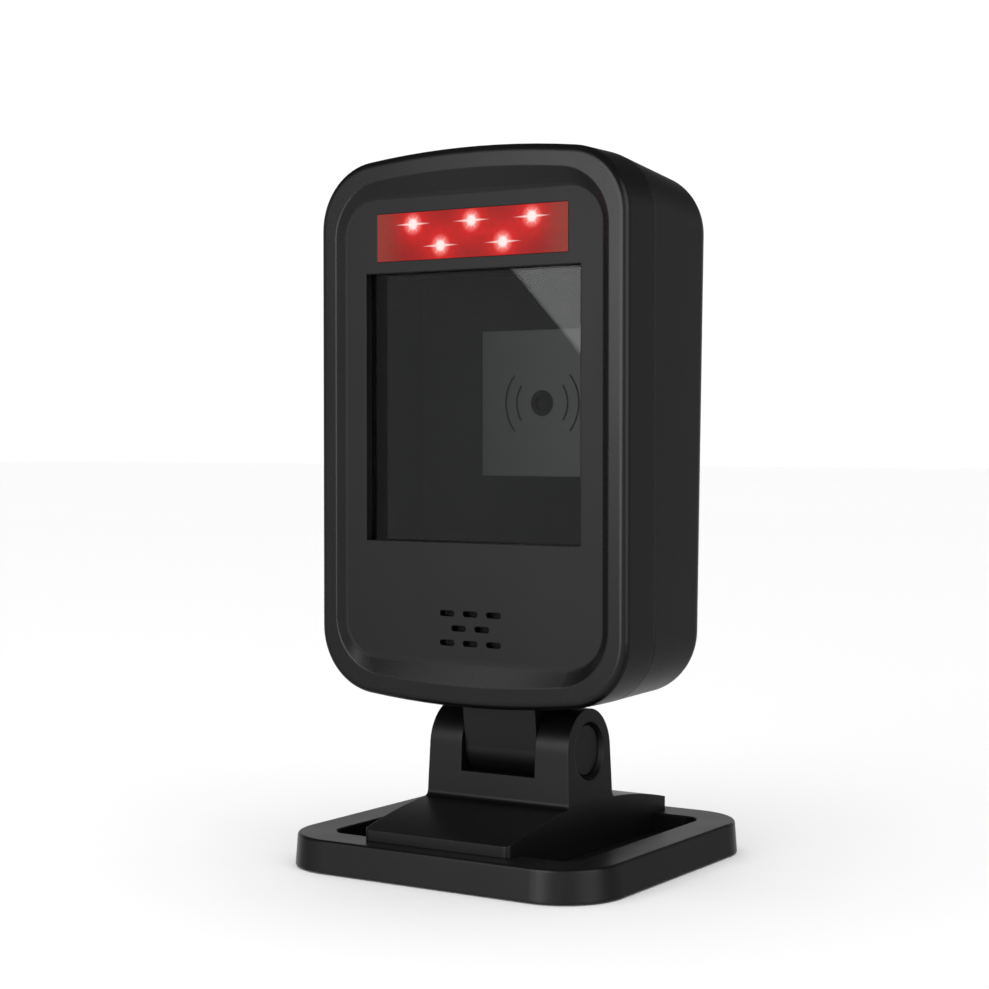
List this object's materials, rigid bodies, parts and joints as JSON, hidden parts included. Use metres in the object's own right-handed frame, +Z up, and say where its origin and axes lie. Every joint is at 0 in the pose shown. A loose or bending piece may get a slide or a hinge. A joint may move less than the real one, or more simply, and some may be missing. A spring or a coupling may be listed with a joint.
{
  "type": "presentation barcode scanner",
  "caption": "Upright hands-free barcode scanner: rounded black head with a scan window and red lamp strip on a tilting hinge bracket and a weighted square foot.",
  "frame": {"origin": "on the table, under the middle of the foot", "axes": "+Z up, the scan window faces -Y (towards the customer), +X along the hinge axis to the right as seen from the window side"},
  "size_m": [0.077, 0.0748, 0.15],
  "materials": {
    "housing_plastic": "fine satin moulded black ABS",
    "inner_plastic": "matt black moulded ABS",
    "window_glass": "clear polished, lightly tinted",
    "lamp_window": "red translucent acrylic",
    "gasket_foam": "closed cell foam",
    "plate_paint": "matt grey paint",
    "circuit_board": "green solder mask",
    "lamp_emitter": "clear red lamp dome",
    "lens_glass": "coated",
    "screw_steel": "zinc plated",
    "weight_steel": "bare cut plate",
    "contact_metal": "gold flashed",
    "flex_film": "amber film",
    "speaker_case": "matt",
    "foot_rubber": "matt"
  },
  "bodies": {
    "stand": {"hinge_bolt": "screw_steel", "hinge_nut": "screw_steel", "spring_washer": "screw_steel", "friction_washer_left": "foot_rubber", "friction_washer_right": "foot_rubber", "hinge_cap_left": "housing_plastic", "hinge_cap_right": "housing_plastic", "stand_bracket": "housing_plastic", "base_frame": "housing_plastic", "bracket_screws": "screw_steel", "base_cover": "inner_plastic", "base_screws": "screw_steel", "base_weight": "weight_steel", "foot_1": "foot_rubber", "foot_2": "foot_rubber", "foot_3": "foot_rubber", "foot_4": "foot_rubber"},
    "head": {"front_housing": "housing_plastic", "rear_cover": "housing_plastic", "housing_screws": "screw_steel", "scan_window": "window_glass", "window_gasket": "gasket_foam", "light_baffle": "inner_plastic", "baffle_screws": "screw_steel", "engine_plate": "plate_paint", "scan_engine": "inner_plastic", "engine_lens": "lens_glass", "engine_screws": "screw_steel", "led_window": "lamp_window", "led_board": "circuit_board", "led_1": "lamp_emitter", "led_2": "lamp_emitter", "led_3": "lamp_emitter", "led_4": "lamp_emitter", "led_5": "lamp_emitter", "main_board": "circuit_board", "board_screws": "screw_steel", "interface_jack": "inner_plastic", "jack_contacts": "contact_metal", "speaker": "speaker_case", "speaker_felt": "gasket_foam", "engine_flex": "flex_film", "neck_bracket": "housing_plastic", "neck_screws": "screw_steel"}
  },
  "joints": [
    {"name": "head_tilt", "type": "hinge", "parent": "stand", "child": "head", "pos_m": [0, 0, 0.0244], "axis": [1, 0, 0], "range_deg": [-60, 30]}
  ]
}
